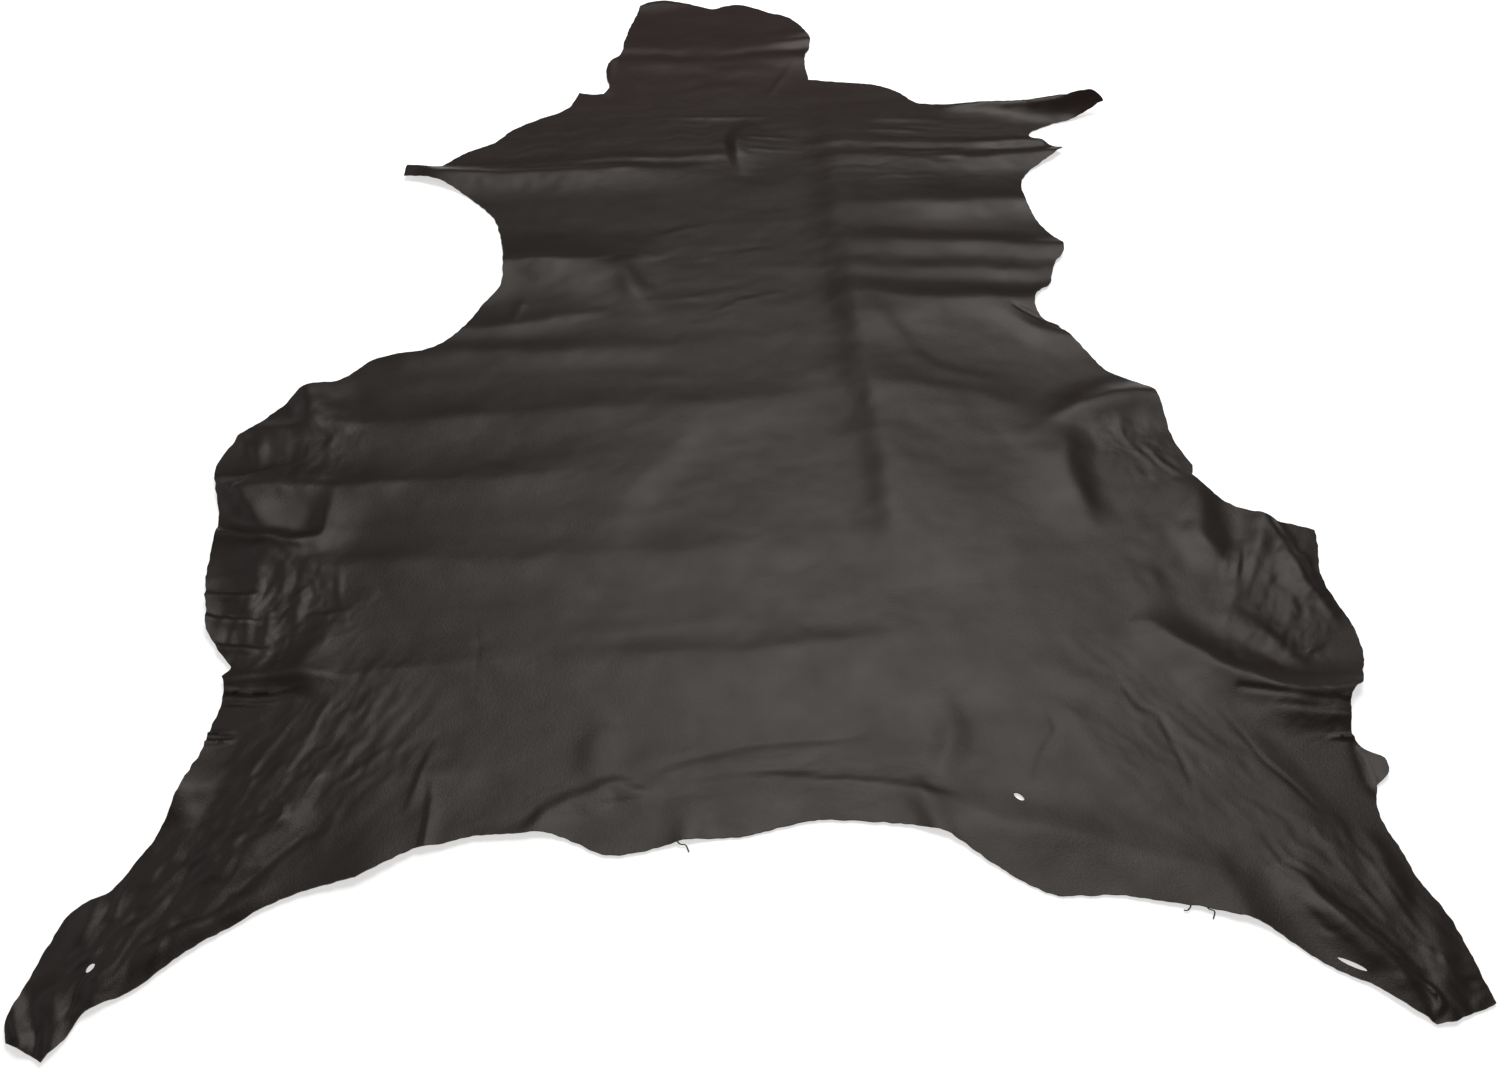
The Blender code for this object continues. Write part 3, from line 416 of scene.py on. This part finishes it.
# Wrinkled patches: an oval of half-length and half-width, whose length is turned from +X in degrees.
# Their relief is one spacing apart and as many spacings long as its run. Swells are soft, and puffs meet
# in sharp valleys.
Patch = namedtuple("Patch", "place x y length width turn spacing run height kind seed")
PATCHES = [
    Patch("whole hide", 0, -40, 900, 900, 0, 15, 1.5, 0.32, "swells", 51),
    Patch("back", 20, -180, 430, 330, 3, 30, 4.5, 0.5, "swells", 37),
    Patch("middle", -20, 150, 240, 110, 10, 18, 4, 0.7, "swells", 36),
    Patch("left shoulder", -60, 365, 230, 85, 3, 11, 9, 0.55, "swells", 34),
    Patch("right shoulder", 240, 330, 150, 95, -1, 10, 9, 0.7, "swells", 33),
    Patch("neck", 30, 530, 120, 110, 0, 20, 3, 1.3, "swells", 35),
    Patch("left hip", -350, -60, 85, 50, 80, 16, 1.8, 1.5, "swells", 14),
    Patch("left hip's creases", -330, -75, 60, 40, 82, 9, 3, 0.5, "puffs", 15),
    Patch("left flank", -360, -250, 105, 52, 82, 20, 2, 1.5, "puffs", 11),
    Patch("left flank, small", -340, -250, 90, 50, 80, 9, 2.4, 0.8, "puffs", 12),
    Patch("left flank's creases", -325, -275, 80, 50, 45, 7, 3, 0.5, "puffs", 13),
    Patch("left thigh", -300, -395, 130, 80, 56, 18, 3.5, 1.6, "swells", 16),
    Patch("left thigh's creases", -310, -400, 130, 70, 58, 7, 5, 1, "swells", 17),
    Patch("left shank", -385, -500, 120, 55, 50, 16, 4, 2.8, "swells", 18),
    Patch("left shank, small", -390, -505, 118, 54, 54, 8.5, 5, 2.1, "swells", 19),
    Patch("left toe", -452, -572, 55, 36, 65, 12, 2.6, 1.6, "swells", 21),
    Patch("right pouch", 350, -125, 75, 50, 70, 18, 2, 1.3, "swells", 25),
    Patch("right pouch's creases", 360, -120, 60, 36, -50, 9, 3, 0.5, "puffs", 41),
    Patch("inner right flank", 355, -225, 95, 50, 65, 20, 1.8, 1.5, "swells", 24),
    Patch("right flank", 420, -275, 115, 62, 66, 28, 2.2, 1.9, "swells", 22),
    Patch("right flank, small", 425, -290, 105, 55, 60, 13, 2.4, 1.4, "swells", 23),
    Patch("right flank's creases", 440, -310, 90, 42, 60, 8, 2.2, 0.5, "puffs", 26),
    Patch("right notch", 430, -405, 45, 34, -10, 9, 3, 1, "puffs", 27),
    Patch("right thigh", 290, -415, 150, 85, -52, 24, 3.5, 1, "swells", 28),
    Patch("right thigh's creases", 320, -425, 130, 70, -58, 8, 6, 0.45, "swells", 29),
    Patch("right shank", 405, -545, 110, 52, -60, 16, 3, 1.2, "swells", 30),
    Patch("right shank, small", 405, -555, 100, 50, -58, 8, 4.5, 0.9, "swells", 31),
    Patch("right toe", 440, -622, 45, 36, -40, 13, 1.8, 1.4, "puffs", 32),
    Patch("rump", -20, -440, 210, 42, 4, 14, 5, 0.8, "swells", 38),
    Patch("left rump", -240, -430, 90, 50, 55, 16, 3, 1, "swells", 40),
]

# How much the crests of each kind of patch meander, in spacings, how steeply a patch gains strength from
# its rim, and how rounded the valleys of puffs are
MEANDER = {"swells": 0.9, "puffs": 1.6}
RIM_GAIN = 1.25
RIM_CURVE = 1.5
VALLEY = 0.004

# Soft swells all over the hide: the wave along X and Y, and the height
SWELL_X = 150.0
SWELL_Y = 85.0
SWELL_HEIGHT = 2.2
SWELL_SEED = 5

# How folds wander and waver: the wave, how far, and the seed
Warp = namedtuple("Warp", "wave play seed")
WARPS = [Warp(70.0, 6.0, 61), Warp(16.0, 2.0, 63)]

# Their unevenness: its wave, and the height that it counts with at most
UNEVEN_WAVE = 55.0
UNEVEN_MOST = 4.0
UNEVEN_SEED = 70

# Small unevenness of the cut edge
EDGE_WAVE = 7.0
EDGE_PLAY = 0.7
EDGE_SEED = 3

# Loose threads at the near edge: from the root, inside the sheet, to the free end on the floor
Thread = namedtuple("Thread", "place points")
THREADS = [
    Thread("rump", [(-50, -478), (-47, -482), (-43, -483), (-41, -488)]),
    Thread("right thigh", [(302, -552), (303, -557), (307, -559), (305, -564)]),
    Thread("inner right thigh", [(292, -548), (292, -554), (289, -557), (287, -556)]),
]
THREAD_RADIUS = 0.5

# Camera: the photo's, 1500 by 1068, looking down at the hide from beyond the rump
LENS = 40.0
SENSOR = 36.0
CAMERA_PLACE = (-0.042, -1.1103, 0.9869)
CAMERA_TILT = 43.0
CAMERA_HEADING = -4.0

# Lights, in metres and watts
Panel = namedtuple("Panel", "name place aim width length power colour")
PANELS = [
    Panel("main_panel", (0.45, 1.25, 2.5), (0.45, 1.25, 0.0), 1.6, 1.9, 58.0, (1.0, 1.0, 1.0)),
    Panel("left_panel", (-2.3, 0.9, 1.75), (-0.38, -0.3, 0.0), 1.6, 1.3, 7.0, (0.93, 0.97, 1.0)),
]

# The sky's brightness, and the floor's side and its drop below the hide, in metres
SKY = 0.14
FLOOR_SIZE = 8.0
FLOOR_DROP = 0.0004

# The materials' places on the hide
GRAIN, UNDERSIDE, RIM = range(3)

# Colours, linear, and where the redder neck starts and is full, in metres along Y
GRAIN_DARK = (0.0088, 0.0050, 0.0040)
GRAIN_LIGHT = (0.0148, 0.0088, 0.0070)
NECK_RED = (0.0165, 0.0064, 0.0052)
NECK_START = 0.25
NECK_FULL = 0.58
SHEEN = (1.0, 0.95, 0.90, 1.0)
FLESH = (0.085, 0.058, 0.042)
CUT_EDGE = (0.050, 0.038, 0.030)
FLOOR = (0.90, 0.90, 0.89)


def smooth_curve(rows, steps):
    """Points on the Catmull-Rom curve through the rows, with each row's own values kept."""
    rows = np.asarray(rows, float)
    padded = np.vstack([2 * rows[0] - rows[1], rows, 2 * rows[-1] - rows[-2]])
    part = np.arange(steps)[:, None] / steps
    pieces = []
    for before, start, end, after in zip(padded, padded[1:], padded[2:], padded[3:]):
        pieces.append(0.5 * (2 * start + (end - before) * part
                             + (2 * before - 5 * start + 4 * end - after) * part**2
                             + (3 * start - before - 3 * end + after) * part**3))
    return np.vstack(pieces + [rows[-1:]])


def evenly_spaced(curve, step):
    """The curve's points read again at equal lengths of about one step, both ends kept."""
    lengths = np.hypot(*np.diff(curve[:, :2], axis=0).T)
    along = np.concatenate([[0.0], np.cumsum(lengths)])
    places = np.linspace(0.0, along[-1], max(1, round(along[-1] / step)) + 1)
    return np.column_stack([np.interp(places, along, column) for column in curve.T])


def hole_loop(hole):
    """A hole's rim, an ellipse turned to its place."""
    turn = math.radians(hole.turn)
    angles = np.arange(HOLE_POINTS) * 2 * math.pi / HOLE_POINTS
    along = hole.length / 2 * np.cos(angles)
    across = hole.width / 2 * np.sin(angles)
    return np.column_stack([hole.x + along * math.cos(turn) - across * math.sin(turn),
                            hole.y + along * math.sin(turn) + across * math.cos(turn)])


def inside(ring, points):
    """Which points lie within a closed ring."""
    within = np.zeros(len(points), bool)
    x, y = points.T
    for (x0, y0), (x1, y1) in zip(ring, np.roll(ring, -1, axis=0)):
        if y0 == y1:
            continue
        crosses = ((y0 > y) != (y1 > y)) & (x < x0 + (y - y0) * (x1 - x0) / (y1 - y0))
        within ^= crosses
    return within


def lattice(column, row, seed):
    """A fixed random direction for each whole place of a lattice."""
    hashed = column.astype(np.int64) * 374761393 + row.astype(np.int64) * 668265263 + seed * 362437
    hashed = (hashed ^ (hashed >> 13)) * 1274126177
    angle = ((hashed ^ (hashed >> 16)) & 0xFFFF) / 0xFFFF * 2 * math.pi
    return np.cos(angle), np.sin(angle)


def noise(x, y, seed):
    """Smooth noise from about 0 to 1 with a wave of about two units."""
    column = np.floor(x)
    row = np.floor(y)
    total = np.full(np.shape(x), 0.5)
    for right in (0, 1):
        for up in (0, 1):
            slope_x, slope_y = lattice(column + right, row + up, seed)
            away_x = x - column - right
            away_y = y - row - up
            share = (1 - away_x**2) ** 3 * (1 - away_y**2) ** 3
            total += 1.1 * share * (slope_x * away_x + slope_y * away_y)
    return total


def warped(points):
    """The points moved a little, so that folds wander and waver."""
    x, y = points.T
    moved = points.copy()
    for warp in WARPS:
        for axis in (0, 1):
            moved[:, axis] += warp.play * (noise(x / warp.wave, y / warp.wave, warp.seed + axis) - 0.5)
    return moved


def fold_reach(fold, points):
    """The points near a fold, their distance from its crest, and how far it lifts them."""
    crest = smooth_curve(fold.crest, CURVE_STEPS)
    most = max(fold.left, fold.right, CREST_BAND)
    near = np.flatnonzero((points > crest[:, :2].min(axis=0) - most).all(axis=1)
                          & (points < crest[:, :2].max(axis=0) + most).all(axis=1))
    places = points[near]
    gap = np.full(len(near), np.inf)
    lift = np.zeros(len(near))
    for start, end in zip(crest, crest[1:]):
        run = end[:2] - start[:2]
        offset = places - start[:2]
        part = np.clip(offset @ run / (run @ run), 0.0, 1.0)
        away = np.hypot(*(offset - part[:, None] * run).T)
        on_left = run[0] * offset[:, 1] - run[1] * offset[:, 0] > 0
        width = np.where(on_left, fold.left, fold.right)
        rise = np.hypot(away, fold.rounding) - fold.rounding
        fall = np.clip(rise / (np.hypot(width, fold.rounding) - fold.rounding), 0.0, 1.0)
        height = np.maximum(start[2] + (end[2] - start[2]) * part, 0.0) * (1.0 - fall) ** 2
        closer = away < gap
        gap[closer] = away[closer]
        lift[closer] = height[closer]
    return near, gap, lift


def folds_lift(folds, points):
    """The sum of the lifts of several folds, a little uneven along each."""
    total = np.zeros(len(points))
    for number, fold in enumerate(folds):
        near, _, lift = fold_reach(fold, points)
        x, y = points[near].T / UNEVEN_WAVE
        play = fold.uneven * (noise(x, y, UNEVEN_SEED + number) - 0.5)
        total[near] += lift + play * np.minimum(lift, UNEVEN_MOST)
    return total


def near_crest(folds, points):
    """Which points lie in the band along a crest."""
    found = np.zeros(len(points), bool)
    for fold in folds:
        near, gap, _ = fold_reach(fold, points)
        found[near] |= gap < CREST_BAND
    return found


def patch_places(patch, points):
    """A patch's own coordinates: along it, across it, and how strong it is at each point."""
    turn = math.radians(patch.turn)
    x = points[:, 0] - patch.x
    y = points[:, 1] - patch.y
    along = x * math.cos(turn) + y * math.sin(turn)
    across = -x * math.sin(turn) + y * math.cos(turn)
    away = (along / patch.length) ** 2 + (across / patch.width) ** 2
    return along, across, np.clip(RIM_GAIN * (1.0 - away), 0.0, 1.0)


def patch_lift(patch, points):
    """The relief of one patch: two sizes of noise, shaped as its kind says."""
    along, across, strength = patch_places(patch, points)
    wide = 2.5 * patch.spacing
    stray = noise(along / wide, across / wide, patch.seed + 100)
    meander = noise(along / wide, across / wide, patch.seed + 200)
    x = along / (patch.spacing * patch.run) + 0.5 * stray
    y = across / patch.spacing + MEANDER[patch.kind] * meander
    coarse = noise(x, y, patch.seed)
    fine = noise(2.1 * x + 5.3, 2.3 * y + 2.7, patch.seed + 300)
    waves = 0.72 * coarse + 0.28 * fine
    if patch.kind == "puffs":
        waves = np.sqrt((2 * waves - 1) ** 2 + VALLEY)
    return patch.height * strength**RIM_CURVE * waves


def swell(points):
    """Soft swells that keep the hide from lying dead flat."""
    x, y = points.T
    waves = 0.7 * noise(x / SWELL_X, y / SWELL_Y, SWELL_SEED)
    waves += 0.3 * noise(2 * x / SWELL_X, 2 * y / SWELL_Y, SWELL_SEED + 1)
    return SWELL_HEIGHT * np.clip(waves - 0.3, 0.0, None)


def wrinkle_lift(points):
    """Everything that is finer than the folds."""
    total = folds_lift(CREASES, points) - folds_lift(GROOVES, points)
    for patch in PATCHES:
        near = np.flatnonzero(patch_places(patch, points)[2] > 0)
        total[near] += patch_lift(patch, points[near])
    return np.maximum(total, -GROOVE_SHARE * THICKNESS)


def outline_loop():
    """The hide's outline as one closed ring, with the small unevenness of a cut edge."""
    ring = np.vstack([evenly_spaced(smooth_curve(stretch.points, CURVE_STEPS), EDGE_STEP)[:-1]
                      for stretch in OUTLINE])
    ahead = np.roll(ring, -1, axis=0) - np.roll(ring, 1, axis=0)
    ahead /= np.hypot(*ahead.T)[:, None]
    play = noise(ring[:, 0] / EDGE_WAVE, ring[:, 1] / EDGE_WAVE, EDGE_SEED) - 0.5
    return ring + 2 * EDGE_PLAY * play[:, None] * np.column_stack([-ahead[:, 1], ahead[:, 0]])


def net_points(step, low, high):
    """A triangular net, and which of its points belong to the net of twice the step."""
    rows = math.ceil((high[1] - low[1]) / (step * math.sqrt(3) / 2))
    columns = math.ceil((high[0] - low[0]) / step)
    column, row = np.meshgrid(np.arange(-rows // 2, columns), np.arange(rows))
    column = column.ravel()
    row = row.ravel()
    points = np.column_stack([
        low[0] + (column + row / 2) * step, low[1] + row * step * math.sqrt(3) / 2])
    return points, (column % 2 == 0) & (row % 2 == 0)


def off_edge(points, rings, distance):
    """The points on the hide that keep a distance from its edge and holes."""
    points = points[inside(rings[0], points)]
    for ring in rings[1:]:
        points = points[~inside(ring, points)]
    rim = np.vstack(rings)
    tree = KDTree(len(rim))
    for number, place in enumerate(rim):
        tree.insert((place[0], place[1], 0.0), number)
    tree.balance()
    kept = [tree.find((place[0], place[1], 0.0))[2] > distance for place in points.tolist()]
    return points[np.array(kept)]


def grain_points(rings):
    """Points of the grain side: close together in wrinkles and at crests, wider apart elsewhere."""
    points, wide = net_points(FINE_STEP, rings[0].min(axis=0), rings[0].max(axis=0))
    rough = np.zeros(len(points), bool)
    for patch in PATCHES:
        if patch.spacing < FINE_SPACING:
            rough |= patch_places(patch, points)[2] > FINE_STRENGTH
    rough |= near_crest([fold for fold in FOLDS if fold.rounding < FINE_ROUNDING], warped(points))
    rough |= near_crest(CREASES + GROOVES, points)
    return off_edge(points[wide | rough], rings, EDGE_SHARE * EDGE_STEP)


def under_points(rings):
    """Points of the flesh side, a wide even net."""
    points, _ = net_points(UNDER_STEP, rings[0].min(axis=0), rings[0].max(axis=0))
    return off_edge(points, rings, EDGE_SHARE * EDGE_STEP)


def ring_edges(rings):
    """The edges of each ring, as pairs of its points' numbers."""
    edges = []
    first = 0
    for ring in rings:
        numbers = list(range(first, first + len(ring)))
        edges.append(list(zip(numbers, numbers[1:] + numbers[:1])))
        first += len(ring)
    return edges


def triangulate(rings, middles):
    """Triangles, anticlockwise from above, between the rings and through the points in the middle."""
    points = [Vector(point) for point in np.vstack(rings + [middles]).tolist()]
    result = delaunay_2d_cdt(points, sum(ring_edges(rings), []), [], 1, 1e-6)
    places = np.array([tuple(point) for point in result[0]])
    triangles = np.array(result[2])
    centres = places[triangles].mean(axis=1)
    for ring in rings[1:]:
        outside = ~inside(ring, centres)
        triangles = triangles[outside]
        centres = centres[outside]
    a, b, c = (places[triangles[:, corner]] for corner in range(3))
    doubled = (b - a)[:, 0] * (c - a)[:, 1] - (b - a)[:, 1] * (c - a)[:, 0]
    return places, np.where((doubled > 0)[:, None], triangles, triangles[:, ::-1])


def surface_normals(corners, triangles):
    """A unit normal at each point, from the triangles that meet there."""
    a, b, c = (corners[triangles[:, corner]] for corner in range(3))
    faces = np.cross(b - a, c - a)
    normals = np.zeros_like(corners)
    for corner in range(3):
        np.add.at(normals, triangles[:, corner], faces)
    return normals / np.linalg.norm(normals, axis=1)[:, None]


def thread_tube(thread):
    """A loose thread: a square tube that leaves the sheet's edge and comes down to the floor."""
    line = smooth_curve(thread.points, CURVE_STEPS)
    ahead = np.gradient(line, axis=0)
    ahead /= np.hypot(*ahead.T)[:, None]
    across = THREAD_RADIUS * np.column_stack([-ahead[:, 1], ahead[:, 0]])
    root = np.array(thread.points[:1], float)
    high = (folds_lift(FOLDS, warped(root)) + swell(root) + THICKNESS / 2)[0]
    heights = np.linspace(high, THREAD_RADIUS, len(line))
    sides = [
        np.column_stack([line - across, heights]),
        np.column_stack([line, heights - THREAD_RADIUS]),
        np.column_stack([line + across, heights]),
        np.column_stack([line, heights + THREAD_RADIUS]),
    ]
    corners = np.stack(sides, axis=1).reshape(-1, 3)
    faces = [[3, 2, 1, 0]]
    for first in range(0, len(corners) - 4, 4):
        for side in range(4):
            other = (side + 1) % 4
            faces.append([first + side, first + other, first + other + 4, first + side + 4])
    faces.append([len(corners) - 4 + side for side in range(4)])
    return corners, faces


def hide_mesh():
    """The closed sheet: the grain side, the flesh side, the cut edge between them, and its threads."""
    rings = [outline_loop()] + [hole_loop(hole) for hole in HOLES]
    rim_count = sum(map(len, rings))
    grain, grain_faces = triangulate(rings, grain_points(rings))
    under, under_faces = triangulate(rings, under_points(rings))
    base = np.column_stack([grain, folds_lift(FOLDS, warped(grain)) + swell(grain)])
    normals = surface_normals(base, grain_faces)
    wrinkles = wrinkle_lift(grain)
    top = base + (THICKNESS + wrinkles)[:, None] * normals
    bottom = np.column_stack([under, folds_lift(FOLDS, warped(under)) + swell(under)])
    bottom[:rim_count] = top[:rim_count] - THICKNESS * normals[:rim_count]
    corners = np.vstack([top, bottom])
    faces = grain_faces.tolist() + (under_faces[:, ::-1] + len(top)).tolist()
    outer, *inner = ring_edges(rings)
    for start, end in [edge[::-1] for edge in outer] + sum(inner, []):
        faces.append([start, end, end + len(top), start + len(top)])
    kinds = [GRAIN] * len(grain_faces) + [UNDERSIDE] * len(under_faces) + [RIM] * rim_count
    for thread in THREADS:
        tube, sides = thread_tube(thread)
        faces += [[corner + len(corners) for corner in side] for side in sides]
        kinds += [GRAIN] * len(sides)
        corners = np.vstack([corners, tube])
    middle = (corners.min(axis=0) + corners.max(axis=0)) / 2
    corners[:, :2] -= middle[:2]
    corners[:, 2] = np.maximum(corners[:, 2], 0.0)
    mesh = bpy.data.meshes.new("hide")
    mesh.from_pydata((corners * MM).tolist(), [], faces)
    mesh.polygons.foreach_set("material_index", kinds)
    mesh.shade_smooth()
    mesh.set_sharp_from_angle(angle=math.radians(SHARP_ANGLE))
    return mesh


def node(tree, kind, **inputs):
    """A shader node with its inputs set or linked."""
    made = tree.nodes.new("ShaderNode" + kind)
    for name, value in inputs.items():
        socket = made.inputs[name.replace("_", " ")]
        if isinstance(value, bpy.types.NodeSocket):
            tree.links.new(value, socket)
        else:
            socket.default_value = value
    return made


def new_material(name):
    """A material and its tree and Principled shader."""
    material = bpy.data.materials.new(name)
    material.use_nodes = True
    return material, material.node_tree, material.node_tree.nodes["Principled BSDF"]


def spread(tree, value, low, high):
    """A value from 0 to 1 read between two other numbers."""
    return node(tree, "MapRange", Value=value, To_Min=low, To_Max=high).outputs["Result"]


def mixed(tree, share, first, second):
    """One colour mixed into another by a share."""
    made = tree.nodes.new("ShaderNodeMix")
    made.data_type = "RGBA"
    tree.links.new(share, made.inputs["Factor"])
    sockets = [socket for socket in made.inputs if socket.type == "RGBA"]
    for socket, colour in zip(sockets, (first, second)):
        if isinstance(colour, bpy.types.NodeSocket):
            tree.links.new(colour, socket)
        else:
            socket.default_value = (*colour, 1.0)
    return next(socket for socket in made.outputs if socket.type == "RGBA")


def grain_leather():
    """Dark brown grain with a satin finish: mottled dye, a redder neck, pores and fine creases."""
    material, tree, surface = new_material("grain_leather")
    place = node(tree, "TexCoord").outputs["Object"]
    mottle = node(tree, "TexNoise", Vector=place, Scale=9.0, Detail=6.0, Roughness=0.6)
    cloudy = spread(tree, mottle.outputs["Fac"], -0.6, 1.6)
    colour = mixed(tree, cloudy, GRAIN_DARK, GRAIN_LIGHT)
    split = node(tree, "SeparateXYZ", Vector=place)
    neck = node(tree, "MapRange", Value=split.outputs["Y"], From_Min=NECK_START, From_Max=NECK_FULL)
    neck.interpolation_type = "SMOOTHSTEP"
    colour = mixed(tree, neck.outputs["Result"], colour, NECK_RED)
    tree.links.new(colour, surface.inputs["Base Color"])
    sheen_cloud = node(tree, "TexNoise", Vector=place, Scale=26.0, Detail=4.0)
    tree.links.new(spread(tree, sheen_cloud.outputs["Fac"], 0.36, 0.52), surface.inputs["Roughness"])
    surface.inputs["Specular IOR Level"].default_value = 0.32
    surface.inputs["Specular Tint"].default_value = SHEEN
    pores = node(tree, "TexVoronoi", Vector=place, Scale=950.0)
    creases = node(tree, "TexNoise", Vector=place, Scale=420.0, Detail=3.0)
    grain = node(tree, "Math")
    grain.operation = "MULTIPLY_ADD"
    grain.inputs[1].default_value = 0.6
    tree.links.new(pores.outputs["Distance"], grain.inputs[0])
    tree.links.new(creases.outputs["Fac"], grain.inputs[2])
    bump = node(tree, "Bump", Height=grain.outputs[0], Strength=0.22, Distance=0.0004)
    tree.links.new(bump.outputs["Normal"], surface.inputs["Normal"])
    return material


def flesh_side():
    """The underside: paler, matt and fibrous."""
    material, tree, surface = new_material("flesh_side")
    place = node(tree, "TexCoord").outputs["Object"]
    nap = node(tree, "TexNoise", Vector=place, Scale=700.0, Detail=5.0, Roughness=0.7)
    colour = mixed(tree, nap.outputs["Fac"], FLESH, tuple(0.6 * part for part in FLESH))
    tree.links.new(colour, surface.inputs["Base Color"])
    surface.inputs["Roughness"].default_value = 0.95
    bump = node(tree, "Bump", Height=nap.outputs["Fac"], Strength=0.5, Distance=0.0005)
    tree.links.new(bump.outputs["Normal"], surface.inputs["Normal"])
    return material


def cut_edge():
    """The raw cut through the sheet."""
    material, tree, surface = new_material("cut_edge")
    place = node(tree, "TexCoord").outputs["Object"]
    fibre = node(tree, "TexNoise", Vector=place, Scale=500.0, Detail=4.0)
    colour = mixed(tree, fibre.outputs["Fac"], CUT_EDGE, tuple(0.5 * part for part in CUT_EDGE))
    tree.links.new(colour, surface.inputs["Base Color"])
    surface.inputs["Roughness"].default_value = 0.8
    return material


def add_object(name, data):
    """An object in the scene."""
    made = bpy.data.objects.new(name, data)
    bpy.context.scene.collection.objects.link(made)
    return made


def make_camera():
    """The photo's camera."""
    data = bpy.data.cameras.new("camera")
    data.lens = LENS
    data.sensor_width = SENSOR
    camera = add_object("camera", data)
    camera.location = CAMERA_PLACE
    camera.rotation_euler = (math.radians(CAMERA_TILT), 0.0, math.radians(CAMERA_HEADING))
    bpy.context.scene.camera = camera


def make_lights():
    """Large soft panels overhead, under a dim even sky."""
    for panel in PANELS:
        data = bpy.data.lights.new(panel.name, "AREA")
        data.shape = "RECTANGLE"
        data.size = panel.width
        data.size_y = panel.length
        data.energy = panel.power
        data.color = panel.colour
        light = add_object(panel.name, data)
        light.location = panel.place
        toward = Vector(panel.aim) - Vector(panel.place)
        light.rotation_euler = toward.to_track_quat("-Z", "Y").to_euler()
    world = bpy.data.worlds.new("sky")
    world.use_nodes = True
    world.node_tree.nodes["Background"].inputs["Color"].default_value = (SKY, SKY, SKY, 1.0)
    bpy.context.scene.world = world


def make_floor():
    """A plain pale floor."""
    half = FLOOR_SIZE / 2
    mesh = bpy.data.meshes.new("floor")
    mesh.from_pydata([(-half, -half, -FLOOR_DROP), (half, -half, -FLOOR_DROP),
                      (half, half, -FLOOR_DROP), (-half, half, -FLOOR_DROP)], [], [(0, 1, 2, 3)])
    material, _, surface = new_material("pale_floor")
    surface.inputs["Base Color"].default_value = (*FLOOR, 1.0)
    surface.inputs["Roughness"].default_value = 0.9
    surface.inputs["Emission Color"].default_value = (1.0, 1.0, 1.0, 1.0)
    surface.inputs["Emission Strength"].default_value = 0.6
    mesh.materials.append(material)
    floor = add_object("floor", mesh)


def make_hide():
    """The hide, in place of its plain solid."""
    mesh = hide_mesh()
    for material in (grain_leather(), flesh_side(), cut_edge()):
        mesh.materials.append(material)
    hide = add_object("hide_leather", mesh)
    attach(hide, "root")
    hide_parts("hide")


make_camera()
make_lights()
make_floor()
make_hide()
bpy.context.scene.view_settings.view_transform = "Standard"
